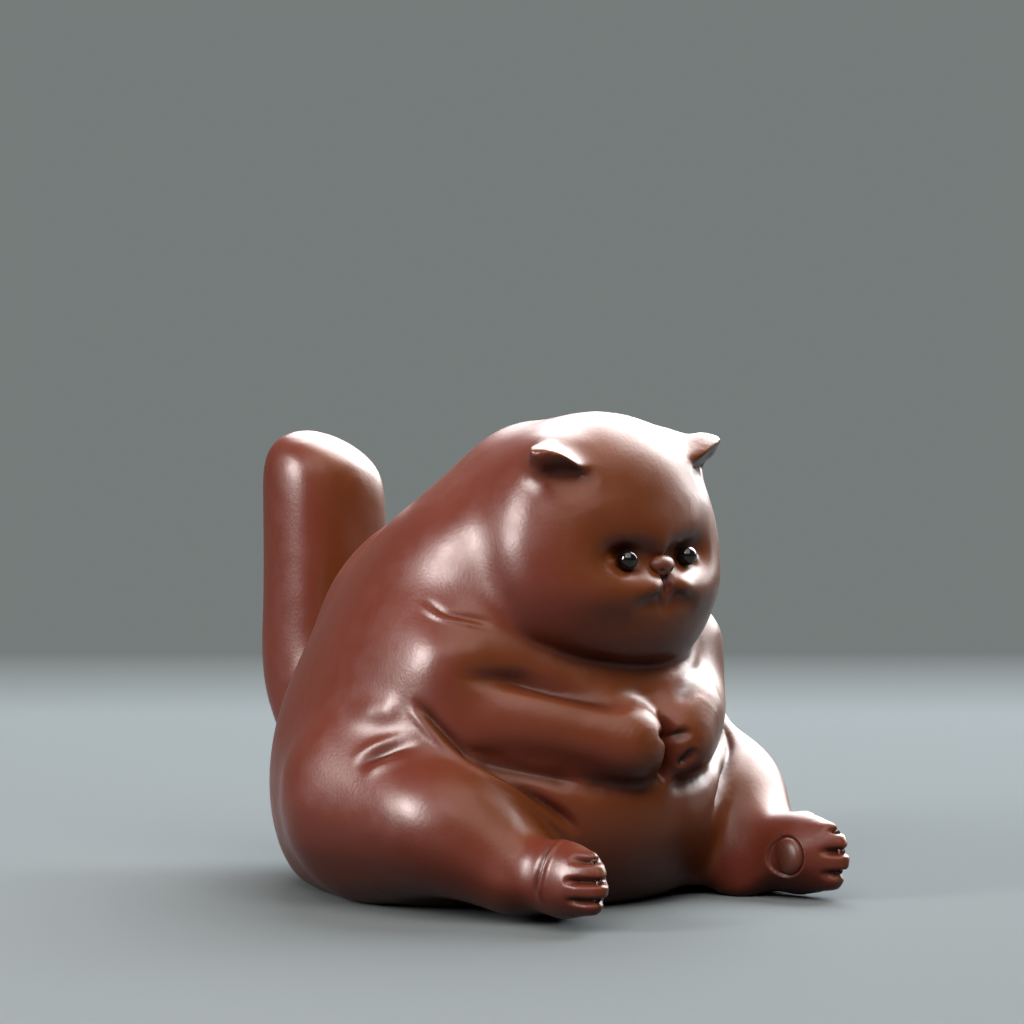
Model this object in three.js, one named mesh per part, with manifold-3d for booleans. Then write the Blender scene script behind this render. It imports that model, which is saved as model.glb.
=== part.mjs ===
// A seated fat cat in burnished red-brown clay, kept on a tea tray.
// It is hollow: torso and head are shells pressed in half moulds, the torso is closed by a base disc
// with a vent, the limbs, ears, tail, nose and sole pads are luted on, and black beads are set for eyes.
// Millimetres, +Z up. The cat faces -Y, and its left side is +X.

import * as THREE from "three";
import { mergeVertices } from "three/addons/utils/BufferGeometryUtils.js";
import Module from "manifold-3d";

const wasm = await Module();
wasm.setup();

// In what follows a bearing is measured in degrees from straight ahead round to one side, an elevation
// in degrees above level, and a set is how far a limb's outer face stands proud of the torso's skin.

// Clay work
const WALL = 3.6; // thickness of the pressed shells
const LUTE_GAP = 0.3; // joint between two luted pieces
const PARTING_TILT = 14; // degrees that the torso's mould parting leans forward

// Torso, a leaning egg
const BASE_WIDTH = 47; // flat underside
const HIP_WIDTH = 60;
const HIP_HEIGHT = 14;
const CHEST_WIDTH = 51;
const CHEST_HEIGHT = 34;
const NAPE_WIDTH = 35.5;
const TORSO_HEIGHT = 63; // crown, hidden in the head
const NAPE_DROP = 11; // below the crown
const NAPE_HEIGHT = TORSO_HEIGHT - NAPE_DROP;
const TORSO_DEPTH = 60; // front to back at the hips
const TORSO_LEAN = 20; // how far the crown comes forward
const LEAN_START = 20; // height above which the torso leans
const BELLY_SWELL = 3;
const BELLY_HEIGHT = 11;
const BELLY_REACH = 13;
const ROLL_SWELL = 1.6; // roll of fat under the chin
const ROLL_HEIGHT = 31.5;
const ROLL_REACH = 6;

// Base disc
const DISC_DIAMETER = 34;
const DISC_THICKNESS = 3.6;
const VENT_DIAMETER = 7;

// Head, a wide flat-faced ball with heavy cheeks
const HEAD_WIDTH = 36;
const HEAD_DEPTH = 27.5;
const HEAD_HEIGHT = 35.5;
const HEAD_DROP = 15.9; // centre below the torso's crown
const HEAD_RISE = TORSO_HEIGHT - HEAD_DROP;
const HEAD_FORWARD = 18.5; // centre in front of the torso's axis
const HEAD_NOD = 10; // degrees
const CHEEK_SWELL = 2.2;
const CHEEK_BEARING = 52;
const CHEEK_ELEVATION = -24;
const CHEEK_REACH = 34; // degrees
const JOWL_SWELL = 2.2;
const JOWL_BEARING = 18;
const JOWL_ELEVATION = -42;
const JOWL_REACH = 28;
const MUZZLE_SWELL = 0.6;
const MUZZLE_BEARING = 9;
const MUZZLE_ELEVATION = -17;
const MUZZLE_REACH = 15;
const NECK_BORE = 13; // opening between the two hollows
const NECK_TILT = 30; // degrees that the bore runs back

// Eyes and nose
const EYE_DIAMETER = 3.4;
const EYE_BEARING = 20;
const EYE_ELEVATION = 0.5;
const EYE_PROUD = 0.35; // how far a bead stands out of the face
const EYE_HOLLOW = 1.2; // depth of the hollow round a bead
const EYE_REACH = 15;
const NOSE_WIDTH = 3;
const NOSE_HEIGHT = 2.2;
const NOSE_PROUD = 1.1;
const NOSE_ELEVATION = -0.5;

// Ears, short cupped flaps
const EAR_WIDTH = 9;
const EAR_LENGTH = 5.2;
const EAR_THICKNESS = 4.4;
const EAR_HOLLOW = 1.4; // depth of the cupped face
const EAR_RIM = 1.2;
const EAR_TIP_RATIO = 0.45; // share of the width that is lost at the tip
const EAR_BEARING = 60;
const EAR_ELEVATION = 39;
const EAR_ROOT_ANGLE = 60; // degrees between the root's line and square across
const EAR_LIFT_ANGLE = 42; // degrees that the flap stands above level
const EAR_SET_BACK = 3; // how far the tip goes back
const EAR_SINK = 1; // depth of the root in the head

// Forelegs, folded over the belly
const SHOULDER_DIAMETER = 18;
const SHOULDER_HEIGHT = 33.5;
const SHOULDER_BEARING = 68;
const SHOULDER_SET = 3;
const ELBOW_DIAMETER = 14;
const ELBOW_HEIGHT = 25.5;
const ELBOW_BEARING = 60;
const ELBOW_SET = 3;
const WRIST_DIAMETER = 13;
const WRIST_HEIGHT = 24.5;
const WRIST_BEARING = 34;
const WRIST_SET = 2.6;
const PAW_DIAMETER = 12;
const PAW_HEIGHT = 21.5;
const PAW_BEARING = 9;
const PAW_SET = 5;

// Hind legs, stretched forward beside the belly
const THIGH_DIAMETER = 30;
const THIGH_HEIGHT = 13.5;
const THIGH_BEARING = 86;
const THIGH_SET = 5;
const KNEE_DIAMETER = 21.5;
const KNEE_HEIGHT = 11;
const KNEE_BEARING = 54;
const KNEE_SET = 9.5;
const ANKLE_DIAMETER = 12.5;

// Hind feet, standing on their outer edges with the soles inwards
const FOOT_LENGTH = 16;
const FOOT_HEIGHT = 11.6;
const FOOT_THICKNESS = 8;
const FOOT_SPLAY = 4; // degrees that the toes turn outwards
const FOOT_APART = 43; // between the middles of the two feet
const FOOT_FORWARD = 36; // middle of the foot in front of the torso's axis
const TOE_COUNT = 4;
const TOE_DIAMETER = 3.3;
const TOE_LENGTH = 6;
const TOE_PROUD = 0.8; // how far the longest toes pass the foot
const TOE_SPAN = 9.8; // height of the row of toes
const TOE_ARCH = 0.5; // how far each toe falls behind the one nearer the middle
const PAD_DIAMETER = 5.6;
const PAD_THICKNESS = 1.2;
const PAD_PROUD = 0.5;
const PAD_FORWARD = 1.2; // middle of the pad in front of the foot's middle

// Tail, an upright post behind the rump
const TAIL_ROOT_HEIGHT = 11;
const TAIL_TIP_HEIGHT = 61.8;
const TAIL_SET_BACK = 3.9; // the post's middle behind the rump
const TAIL_WIDTH = 17.4;
const TAIL_THICKNESS = 14.2;
const TAIL_SQUARENESS = 3.5;
const TAIL_SLANT = 29; // degrees that the tip falls to the front
const TAIL_TWIST = 17; // degrees that the tip falls to the left
const TAIL_ROUNDING = 2.2; // between the tip's slanted face and the post's sides

// Facets
const TORSO_SIDES = 36;
const TORSO_RINGS = 16;
const TURN_RINGS = 5;
const HEAD_SIDES = 32;
const HEAD_RINGS = 22;
const HOLLOW_SIDES = 20;
const HOLLOW_RINGS = 12;
const LIMB_SIDES = 16;
const LIMB_RINGS = 13;
const LIMB_CAP_RINGS = 4;
const EAR_SIDES = 16;
const EAR_RINGS = 12;
const SMALL_SIDES = 12;
const SMALL_RINGS = 8;
const TOE_CAP_RINGS = 3;
const DISC_SIDES = 30;

const FAR = 400; // size of the cutting blocks, past the whole figure
const WELD = 1e-4;
const ROUND = 2; // squareness of a round section
const SIDES = { left: 1, right: -1 };

const clay = new THREE.MeshStandardMaterial({ color: "#7b4130", roughness: 0.42, metalness: 0 });
const darkClay = new THREE.MeshStandardMaterial({ color: "#6d3a2c", roughness: 0.5, metalness: 0 });
const bead = new THREE.MeshStandardMaterial({ color: "#070707", roughness: 0.06, metalness: 0 });

const { clamp, degToRad, lerp, mapLinear, radToDeg } = THREE.MathUtils;
const bell = (distance, reach) => Math.exp(-((distance / reach) ** 2));

// Solids

// The geometry with its shared vertices welded and no collapsed faces.
function welded(geometry) {
  const bare = geometry.clone();
  bare.deleteAttribute("normal");
  bare.deleteAttribute("uv");
  const merged = mergeVertices(bare, WELD);
  const kept = [];
  for (let i = 0; i < merged.index.count; i += 3) {
    const corners = [0, 1, 2].map((k) => merged.index.getX(i + k));
    if (new Set(corners).size === 3) kept.push(...corners);
  }
  return merged.setIndex(kept);
}

// Moves every vertex of a geometry through a function of its place.
function shaped(geometry, move) {
  const place = geometry.attributes.position;
  for (let i = 0; i < place.count; i++) {
    const moved = move(new THREE.Vector3().fromBufferAttribute(place, i));
    place.setXYZ(i, moved.x, moved.y, moved.z);
  }
  return geometry;
}

// A copy of a closed skin, offset outwards, or inwards where the distance is negative.
function offset(skin, distance) {
  const copy = welded(skin);
  copy.computeVertexNormals();
  const normal = copy.attributes.normal;
  let vertex = 0;
  return shaped(copy, (p) => {
    const out = new THREE.Vector3().fromBufferAttribute(normal, vertex++);
    return p.addScaledVector(out, distance);
  });
}

// A closed geometry as a solid that can be joined and cut.
function solid(geometry) {
  const skin = welded(geometry);
  return new wasm.Manifold(
    new wasm.Mesh({
      numProp: 3,
      vertProperties: new Float32Array(skin.attributes.position.array),
      triVerts: new Uint32Array(skin.index.array),
    }),
  );
}

// A named mesh made from a solid.
function piece(name, body, material) {
  const { vertProperties, triVerts } = body.getMesh();
  const geometry = new THREE.BufferGeometry();
  geometry.setAttribute("position", new THREE.BufferAttribute(vertProperties, 3));
  geometry.setIndex(new THREE.BufferAttribute(triVerts, 1));
  geometry.computeVertexNormals();
  const mesh = new THREE.Mesh(geometry, material.clone());
  mesh.name = name;
  return mesh;
}

// A block that fills everything on one side of a plane square to an axis, tilted about X if need be.
function halfSpace(axis, from, direction, tilt = 0) {
  const centre = new THREE.Vector3();
  centre[axis] = from + (direction * FAR) / 2;
  const block = new THREE.BoxGeometry(FAR, FAR, FAR).translate(centre.x, centre.y, centre.z);
  return solid(block.rotateX(degToRad(tilt)));
}

// A flat round disc lying between two heights.
function disc(diameter, from, to) {
  const shape = new THREE.CylinderGeometry(diameter / 2, diameter / 2, to - from, DISC_SIDES);
  return solid(shape.rotateX(Math.PI / 2).translate(0, 0, (from + to) / 2));
}

// A limb: a capsule drawn along a curve through the centres of its girths.
function limb(points, girths, flat = 1, squareness = ROUND) {
  const spine = new THREE.CatmullRomCurve3(points, false, "centripetal");
  const girth = new THREE.SplineCurve(girths.map((width, i) => new THREE.Vector2(i, width / 2)));
  const frames = spine.computeFrenetFrames(LIMB_RINGS);
  const straight = new THREE.CapsuleGeometry(1, LIMB_RINGS, LIMB_CAP_RINGS, LIMB_SIDES, LIMB_RINGS);
  return shaped(straight, (p) => {
    const down = LIMB_RINGS / 2 - p.y;
    const ring = clamp(Math.round(down), 0, LIMB_RINGS);
    const past = down - clamp(down, 0, LIMB_RINGS);
    const radius = girth.getPoint(ring / LIMB_RINGS).y;
    const turn = Math.atan2(p.z, p.x);
    const corner = Math.abs(Math.cos(turn)) ** squareness + Math.abs(Math.sin(turn)) ** squareness;
    const full = radius / corner ** (1 / squareness);
    return spine
      .getPointAt(ring / LIMB_RINGS)
      .addScaledVector(frames.tangents[ring], radius * past)
      .addScaledVector(frames.normals[ring], full * flat * p.x)
      .addScaledVector(frames.binormals[ring], full * p.z);
  });
}

const underFloor = halfSpace("z", 0, -1);

// Torso form

// The flank's curve starts with a copy of the chest under the hips, so that it is upright at the hips.
const flank = new THREE.SplineCurve([
  new THREE.Vector2(CHEST_WIDTH / 2, 2 * HIP_HEIGHT - CHEST_HEIGHT),
  new THREE.Vector2(HIP_WIDTH / 2, HIP_HEIGHT),
  new THREE.Vector2(CHEST_WIDTH / 2, CHEST_HEIGHT),
  new THREE.Vector2(NAPE_WIDTH / 2, NAPE_HEIGHT),
  new THREE.Vector2(0, TORSO_HEIGHT),
]);
const flankStart = 1 / (flank.points.length - 1);
const baseTurn = new THREE.EllipseCurve(
  BASE_WIDTH / 2,
  HIP_HEIGHT,
  (HIP_WIDTH - BASE_WIDTH) / 2,
  HIP_HEIGHT,
  -Math.PI / 2,
  0,
);

function torsoOutline(flankRings) {
  const outline = baseTurn.getPoints(TURN_RINGS);
  for (let ring = 1; ring <= flankRings; ring++) {
    outline.push(flank.getPoint(lerp(flankStart, 1, ring / flankRings)));
  }
  return outline;
}
const torsoProfile = torsoOutline(TORSO_RINGS);

// The torso's half width at a height.
function torsoRadius(height) {
  const next = torsoProfile.findIndex((p) => p.y >= height);
  const above = torsoProfile[next];
  const below = torsoProfile[next - 1];
  return mapLinear(height, below.y, above.y, below.x, above.x);
}

// Leans a point of the upright torso forward, and swells its belly and the roll under the chin.
function torsoLean(p) {
  const ahead = Math.max(0, -p.y) / (TORSO_DEPTH / 2);
  const belly = BELLY_SWELL * bell(p.z - BELLY_HEIGHT, BELLY_REACH);
  const roll = ROLL_SWELL * bell(p.z - ROLL_HEIGHT, ROLL_REACH);
  const rise = Math.max(0, p.z - LEAN_START) / (TORSO_HEIGHT - LEAN_START);
  p.y -= TORSO_LEAN * rise ** 2 + (belly + roll) * ahead ** 2;
  return p;
}

// The centre of a limb's girth whose outer face stands proud of the torso's skin by a set.
function onTorso(side, height, bearing, set, diameter) {
  const turn = degToRad(bearing);
  const radius = torsoRadius(height);
  const out = set - diameter / 2;
  const depth = (radius * TORSO_DEPTH) / HIP_WIDTH;
  const across = side * Math.sin(turn) * (radius + out);
  return torsoLean(new THREE.Vector3(across, -Math.cos(turn) * (depth + out), height));
}

function torsoForm(outline, sides) {
  const upright = new THREE.LatheGeometry([new THREE.Vector2(0, 0), ...outline], sides)
    .rotateX(Math.PI / 2)
    .scale(1, TORSO_DEPTH / HIP_WIDTH, 1);
  return shaped(upright, torsoLean);
}
const torsoSkin = torsoForm(torsoProfile, TORSO_SIDES);
const torsoHollow = offset(torsoForm(torsoOutline(HOLLOW_RINGS), HOLLOW_SIDES), -WALL);
const torsoRoom = solid(offset(torsoSkin, LUTE_GAP));

// Head form, in the head's own frame

const head = new THREE.Group();
head.name = "head";
head.position.set(0, -HEAD_FORWARD, HEAD_RISE);
head.rotation.x = degToRad(HEAD_NOD);
head.updateMatrix();

function heading(side, bearing, elevation) {
  const turn = degToRad(bearing);
  const lift = degToRad(elevation);
  const level = Math.cos(lift);
  return new THREE.Vector3(side * Math.sin(turn) * level, -Math.cos(turn) * level, Math.sin(lift));
}

const faceForms = Object.values(SIDES).flatMap((side) => [
  { at: heading(side, CHEEK_BEARING, CHEEK_ELEVATION), reach: CHEEK_REACH, swell: CHEEK_SWELL },
  { at: heading(side, JOWL_BEARING, JOWL_ELEVATION), reach: JOWL_REACH, swell: JOWL_SWELL },
  { at: heading(side, MUZZLE_BEARING, MUZZLE_ELEVATION), reach: MUZZLE_REACH, swell: MUZZLE_SWELL },
  { at: heading(side, EYE_BEARING, EYE_ELEVATION), reach: EYE_REACH, swell: -EYE_HOLLOW },
]);

// The head's skin in a direction from its middle, and a place at a height over that skin.
function headSkinAt(direction) {
  const ball = new THREE.Vector3(HEAD_WIDTH / 2, HEAD_DEPTH / 2, HEAD_HEIGHT / 2).multiply(direction);
  for (const { at, reach, swell } of faceForms) {
    ball.addScaledVector(direction, swell * bell(radToDeg(direction.angleTo(at)), reach));
  }
  return ball;
}
function onHead(side, bearing, elevation, out) {
  const direction = heading(side, bearing, elevation);
  return headSkinAt(direction).addScaledVector(direction, out);
}

function headForm(sides, rings) {
  const ball = new THREE.SphereGeometry(1, sides, rings).rotateX(Math.PI / 2);
  return shaped(ball, (p) => headSkinAt(p.normalize()));
}
const headSkin = headForm(HEAD_SIDES, HEAD_RINGS);
const headHollow = offset(headForm(HOLLOW_SIDES, HOLLOW_RINGS), -WALL);
const headClear = solid(offset(headSkin, LUTE_GAP));
const headRoom = solid(offset(headSkin, LUTE_GAP).applyMatrix4(head.matrix));

// Head shells, open to the torso through the neck bore, with a socket for each eye

function eyeBall(side, grown) {
  const seat = onHead(side, EYE_BEARING, EYE_ELEVATION, EYE_PROUD - EYE_DIAMETER / 2);
  const ball = new THREE.SphereGeometry(EYE_DIAMETER / 2 + grown, SMALL_SIDES, SMALL_RINGS);
  return solid(ball.translate(seat.x, seat.y, seat.z));
}

const neckBore = solid(
  new THREE.CylinderGeometry(NECK_BORE / 2, NECK_BORE / 2, HEAD_HEIGHT, DISC_SIDES)
    .rotateX(Math.PI / 2)
    .translate(0, 0, -HEAD_HEIGHT / 2)
    .rotateX(degToRad(NECK_TILT)),
);
const headShell = solid(headSkin)
  .subtract(solid(headHollow))
  .subtract(neckBore)
  .subtract(eyeBall(SIDES.left, LUTE_GAP))
  .subtract(eyeBall(SIDES.right, LUTE_GAP));
head.add(
  piece("face_shell", headShell.subtract(halfSpace("y", -LUTE_GAP / 2, 1)), clay),
  piece("skull_shell", headShell.subtract(halfSpace("y", LUTE_GAP / 2, -1)), clay),
);

// Nose and ears

const noseSeat = onHead(SIDES.left, 0, NOSE_ELEVATION, 0);
const nose = new THREE.SphereGeometry(1, SMALL_SIDES, SMALL_RINGS)
  .scale(NOSE_WIDTH / 2, NOSE_PROUD, NOSE_HEIGHT / 2)
  .translate(noseSeat.x, noseSeat.y, noseSeat.z);
head.add(piece("nose", solid(nose).subtract(headClear), darkClay));

// The flap's root runs back and outwards along the head. The flap stands out and up from there,
// with its cupped face looking outwards, forward and down, and its tip swept back.
function ear(side) {
  const run = degToRad(EAR_ROOT_ANGLE);
  const root = new THREE.Vector3(Math.cos(run), side * Math.sin(run), 0);
  const out = heading(side, EAR_ROOT_ANGLE, EAR_LIFT_ANGLE);
  const stand = new THREE.Matrix4().makeBasis(root, new THREE.Vector3().crossVectors(out, root), out);
  stand.setPosition(onHead(side, EAR_BEARING, EAR_ELEVATION, -EAR_SINK));
  const flap = (rim, inset) => {
    const ball = new THREE.SphereGeometry(1, EAR_SIDES, EAR_RINGS)
      .rotateX(Math.PI / 2)
      .scale(EAR_WIDTH / 2 - rim, EAR_THICKNESS / 2, EAR_LENGTH - rim)
      .translate(0, -side * inset, 0);
    return shaped(ball, (p) => {
      const up = Math.max(0, p.z) / EAR_LENGTH;
      p.x = p.x * (1 - EAR_TIP_RATIO * up) + side * EAR_SET_BACK * up ** 2;
      return p.applyMatrix4(stand);
    });
  };
  const cup = flap(EAR_RIM, EAR_THICKNESS - EAR_HOLLOW);
  return solid(flap(0, 0)).subtract(solid(cup)).subtract(headClear);
}

for (const [name, side] of Object.entries(SIDES)) {
  head.add(piece(`${name}_ear`, ear(side), clay), piece(`${name}_eye`, eyeBall(side, 0), bead));
}

// Torso shells and base disc

const group = new THREE.Group();
group.name = "cat_tea_pet";

const discRoom = disc(DISC_DIAMETER + 2 * LUTE_GAP, -DISC_THICKNESS, DISC_THICKNESS + LUTE_GAP);
const torsoShell = solid(torsoSkin).subtract(solid(torsoHollow)).subtract(discRoom).subtract(headRoom);
const behindParting = halfSpace("y", -LUTE_GAP / 2, 1, PARTING_TILT);
const beforeParting = halfSpace("y", LUTE_GAP / 2, -1, PARTING_TILT);
const vent = disc(VENT_DIAMETER, -DISC_THICKNESS, 2 * DISC_THICKNESS);
group.add(
  piece("torso_front_shell", torsoShell.subtract(behindParting), clay),
  piece("torso_back_shell", torsoShell.subtract(beforeParting), clay),
  piece("base_disc", disc(DISC_DIAMETER, 0, DISC_THICKNESS).subtract(vent), darkClay),
);

// Hind leg, foot, sole pad and foreleg of each side

// The foot's long way is Y, its sole looks to the middle, and its toes are stacked upwards.
function hindFoot(side) {
  const sphere = new THREE.SphereGeometry(1, LIMB_SIDES, LIMB_RINGS);
  let foot = solid(sphere.scale(FOOT_THICKNESS / 2, FOOT_LENGTH / 2, FOOT_HEIGHT / 2));
  const step = (TOE_SPAN - TOE_DIAMETER) / (TOE_COUNT - 1);
  for (let toe = 0; toe < TOE_COUNT; toe++) {
    const fromMiddle = toe - (TOE_COUNT - 1) / 2;
    const tip = TOE_ARCH * fromMiddle ** 2 - FOOT_LENGTH / 2 - TOE_PROUD;
    const length = TOE_LENGTH - TOE_DIAMETER;
    const shape = new THREE.CapsuleGeometry(TOE_DIAMETER / 2, length, TOE_CAP_RINGS, SMALL_SIDES, 1);
    foot = foot.add(solid(shape.translate(0, tip + TOE_LENGTH / 2, fromMiddle * step)));
  }
  return foot.subtract(solePad(side, LUTE_GAP));
}

function solePad(side, grown) {
  const radius = PAD_DIAMETER / 2 + grown;
  const middle = -side * (FOOT_THICKNESS / 2 + PAD_PROUD - PAD_THICKNESS / 2);
  const shape = new THREE.CylinderGeometry(radius, radius, PAD_THICKNESS + 2 * grown, DISC_SIDES);
  return solid(shape.rotateZ(Math.PI / 2).translate(middle, -PAD_FORWARD, 0));
}

for (const [name, side] of Object.entries(SIDES)) {
  const place = new THREE.Group();
  place.position.set((side * FOOT_APART) / 2, -FOOT_FORWARD, FOOT_HEIGHT / 2);
  place.rotation.z = side * degToRad(FOOT_SPLAY);
  place.updateMatrix();

  const hip = onTorso(side, THIGH_HEIGHT, THIGH_BEARING, THIGH_SET, THIGH_DIAMETER);
  const knee = onTorso(side, KNEE_HEIGHT, KNEE_BEARING, KNEE_SET, KNEE_DIAMETER);
  const ankle = new THREE.Vector3(0, FOOT_LENGTH / 2, 0).add(place.position);
  const leg = limb([hip, knee, ankle], [THIGH_DIAMETER, KNEE_DIAMETER, ANKLE_DIAMETER]);
  const hindLeg = solid(leg).subtract(torsoRoom).subtract(underFloor);

  const toFoot = place.matrix.clone().invert();
  const foot = hindFoot(side)
    .subtract(solid(offset(leg, LUTE_GAP).applyMatrix4(toFoot)))
    .subtract(solid(offset(torsoSkin, LUTE_GAP).applyMatrix4(toFoot)))
    .subtract(halfSpace("z", -place.position.z, -1));
  place.add(piece(`${name}_hind_foot`, foot, clay), piece(`${name}_sole_pad`, solePad(side, 0), darkClay));

  const arm = limb(
    [
      onTorso(side, SHOULDER_HEIGHT, SHOULDER_BEARING, SHOULDER_SET, SHOULDER_DIAMETER),
      onTorso(side, ELBOW_HEIGHT, ELBOW_BEARING, ELBOW_SET, ELBOW_DIAMETER),
      onTorso(side, WRIST_HEIGHT, WRIST_BEARING, WRIST_SET, WRIST_DIAMETER),
      onTorso(side, PAW_HEIGHT, PAW_BEARING, PAW_SET, PAW_DIAMETER),
    ],
    [SHOULDER_DIAMETER, ELBOW_DIAMETER, WRIST_DIAMETER, PAW_DIAMETER],
  );
  const foreleg = solid(arm)
    .subtract(torsoRoom)
    .subtract(headRoom)
    .subtract(solid(offset(leg, LUTE_GAP)))
    .subtract(halfSpace("x", (side * LUTE_GAP) / 2, -side));

  group.add(piece(`${name}_foreleg`, foreleg, clay), piece(`${name}_hind_leg`, hindLeg, clay), place);
}

// Tail

const root = onTorso(SIDES.left, TAIL_ROOT_HEIGHT, 180, 0, TAIL_THICKNESS);
const post = root.y + TAIL_THICKNESS / 2 + TAIL_SET_BACK;
const tip = TAIL_TIP_HEIGHT - TAIL_THICKNESS / 2;
const tail = limb(
  [
    root,
    new THREE.Vector3(0, post, TAIL_ROOT_HEIGHT + TAIL_THICKNESS),
    new THREE.Vector3(0, post, (TAIL_ROOT_HEIGHT + TAIL_TIP_HEIGHT) / 2),
    new THREE.Vector3(0, post, tip),
  ],
  [TAIL_THICKNESS, TAIL_THICKNESS, TAIL_THICKNESS, TAIL_THICKNESS],
  TAIL_WIDTH / TAIL_THICKNESS,
  TAIL_SQUARENESS,
);

// Presses the tip down onto a slanted plane that leaves the back edge at its full height.
const forward = Math.tan(degToRad(TAIL_SLANT));
const leftward = Math.tan(degToRad(TAIL_TWIST));
const backEdge = post + TAIL_THICKNESS / 2;
shaped(tail, (p) => {
  const plane = TAIL_TIP_HEIGHT + TAIL_ROUNDING + forward * (p.y - backEdge) - leftward * p.x;
  p.z -= TAIL_ROUNDING * Math.log1p(Math.exp((p.z - plane) / TAIL_ROUNDING));
  return p;
});
group.add(piece("tail", solid(tail).subtract(torsoRoom).subtract(underFloor), clay), head);

// The frame's origin is under the middle of the figure.
const box = new THREE.Box3().setFromObject(group, true);
group.position.set(-(box.min.x + box.max.x) / 2, -(box.min.y + box.max.y) / 2, -box.min.z);

export default group;
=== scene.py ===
# Cat tea pet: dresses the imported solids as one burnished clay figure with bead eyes, on a studio floor.

import math

import bmesh
import bpy
import numpy as np
from mathutils import Matrix, Vector
from mathutils.bvhtree import BVHTree


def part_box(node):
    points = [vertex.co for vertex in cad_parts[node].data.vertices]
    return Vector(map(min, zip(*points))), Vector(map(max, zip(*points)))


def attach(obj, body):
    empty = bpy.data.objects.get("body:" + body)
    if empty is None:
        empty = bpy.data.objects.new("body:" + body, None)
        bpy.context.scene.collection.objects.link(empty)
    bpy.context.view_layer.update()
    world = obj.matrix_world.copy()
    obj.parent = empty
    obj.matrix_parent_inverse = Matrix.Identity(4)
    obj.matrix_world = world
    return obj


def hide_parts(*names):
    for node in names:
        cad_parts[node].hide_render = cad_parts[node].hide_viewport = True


bl_info = {
    "name": "Cat Tea Pet",
    "version": (1, 0, 0),
    "blender": (4, 5, 0),
    "location": "3D View > Sidebar > Tea Pet",
    "description": "Models a burnished clay cat for a tea tray",
    "category": "Object",
}

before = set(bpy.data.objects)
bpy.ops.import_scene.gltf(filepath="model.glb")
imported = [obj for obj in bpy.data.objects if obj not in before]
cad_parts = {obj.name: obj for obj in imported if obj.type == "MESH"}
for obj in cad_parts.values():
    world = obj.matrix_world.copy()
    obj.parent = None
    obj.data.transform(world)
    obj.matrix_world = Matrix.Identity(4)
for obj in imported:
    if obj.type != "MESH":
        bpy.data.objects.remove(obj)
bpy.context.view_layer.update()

MM = 0.001
WELD = 0.001 * MM
BODY = "root"

# The clay nodes, and the piece that stands for each
CLAY_PIECES = {
    "torso_front_shell": "chest_and_belly",
    "torso_back_shell": "back_and_rump",
    "face_shell": "face",
    "skull_shell": "skull",
    "left_ear": "ear_left",
    "right_ear": "ear_right",
    "left_foreleg": "foreleg_left",
    "right_foreleg": "foreleg_right",
    "left_hind_leg": "hind_leg_left",
    "right_hind_leg": "hind_leg_right",
    "left_hind_foot": "hind_foot_left",
    "right_hind_foot": "hind_foot_right",
    "tail": "tail_post",
}
PLUG_NODES = ("base_disc", "left_sole_pad", "right_sole_pad")
SIDES = {"left": 1, "right": -1}

# Places for the sculpting are in millimetres from a point on the tray in front of the base disc's middle
DISC_SET_BACK = 1.3
DISC_LOW, DISC_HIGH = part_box("base_disc")
ORIGIN = np.array((0, (DISC_LOW.y + DISC_HIGH.y) / 2 / MM - DISC_SET_BACK, 0))


# Settings


class TeaPetClay(bpy.types.PropertyGroup):
    """Sizes of the clay skin, in metres."""

    voxel: bpy.props.FloatProperty(
        name="Voxel", description="Cell in which the luted pieces run together",
        default=0.55 * MM, unit="LENGTH")
    lute: bpy.props.FloatProperty(
        name="Lute", description="Swelling that closes the joints before the pieces run together",
        default=0.22 * MM, unit="LENGTH")
    wall: bpy.props.FloatProperty(
        name="Wall", description="Thickness of each piece's clay behind the skin",
        default=0.6 * MM, unit="LENGTH")
    burnish: bpy.props.IntProperty(
        name="Burnish", description="Passes of the burnisher over the large forms", default=60)


class TeaPetFinish(bpy.types.PropertyGroup):
    """Colours and gloss."""

    clay: bpy.props.FloatVectorProperty(
        name="Clay", description="Burnished clay", subtype="COLOR", default=(0.128, 0.0255, 0.0125))
    clay_red: bpy.props.FloatVectorProperty(
        name="Red Clay", description="Redder patches", subtype="COLOR", default=(0.142, 0.027, 0.0145))
    # Painted warm light: a lighter, yellower clay laid on the side that faces front and up
    clay_warm_lit: bpy.props.FloatVectorProperty(
        name="Warm Lit Clay", description="Clay stained by tea, on the front", subtype="COLOR",
        default=(0.16, 0.044, 0.009))
    # Painted shade: the colour laid in the folds, the hollows and under the rolls
    clay_painted_shade: bpy.props.FloatVectorProperty(
        name="Dark Clay", description="Clay in the folds", subtype="COLOR", default=(0.045, 0.009, 0.003))
    roughness: bpy.props.FloatProperty(
        name="Roughness", description="Roughness of the burnished skin", default=0.35, min=0.0, max=1.0)
    specular: bpy.props.FloatProperty(
        name="Specular", description="Strength of the burnished skin's reflections",
        default=0.3, min=0.0, max=1.0)
    clay_pad: bpy.props.FloatVectorProperty(
        name="Pad Clay", description="Nose and sole pads", subtype="COLOR", default=(0.13, 0.036, 0.013))
    bead: bpy.props.FloatVectorProperty(
        name="Bead", description="Eye beads", subtype="COLOR", default=(0.003, 0.003, 0.003))
    bead_cloud: bpy.props.FloatVectorProperty(
        name="Bead Cloud", description="Cloud in the beads", subtype="COLOR", default=(0.008, 0.007, 0.006))
    eye: bpy.props.FloatProperty(
        name="Eye", description="Diameter of an eye bead", default=2.65 * MM, unit="LENGTH")


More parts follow.
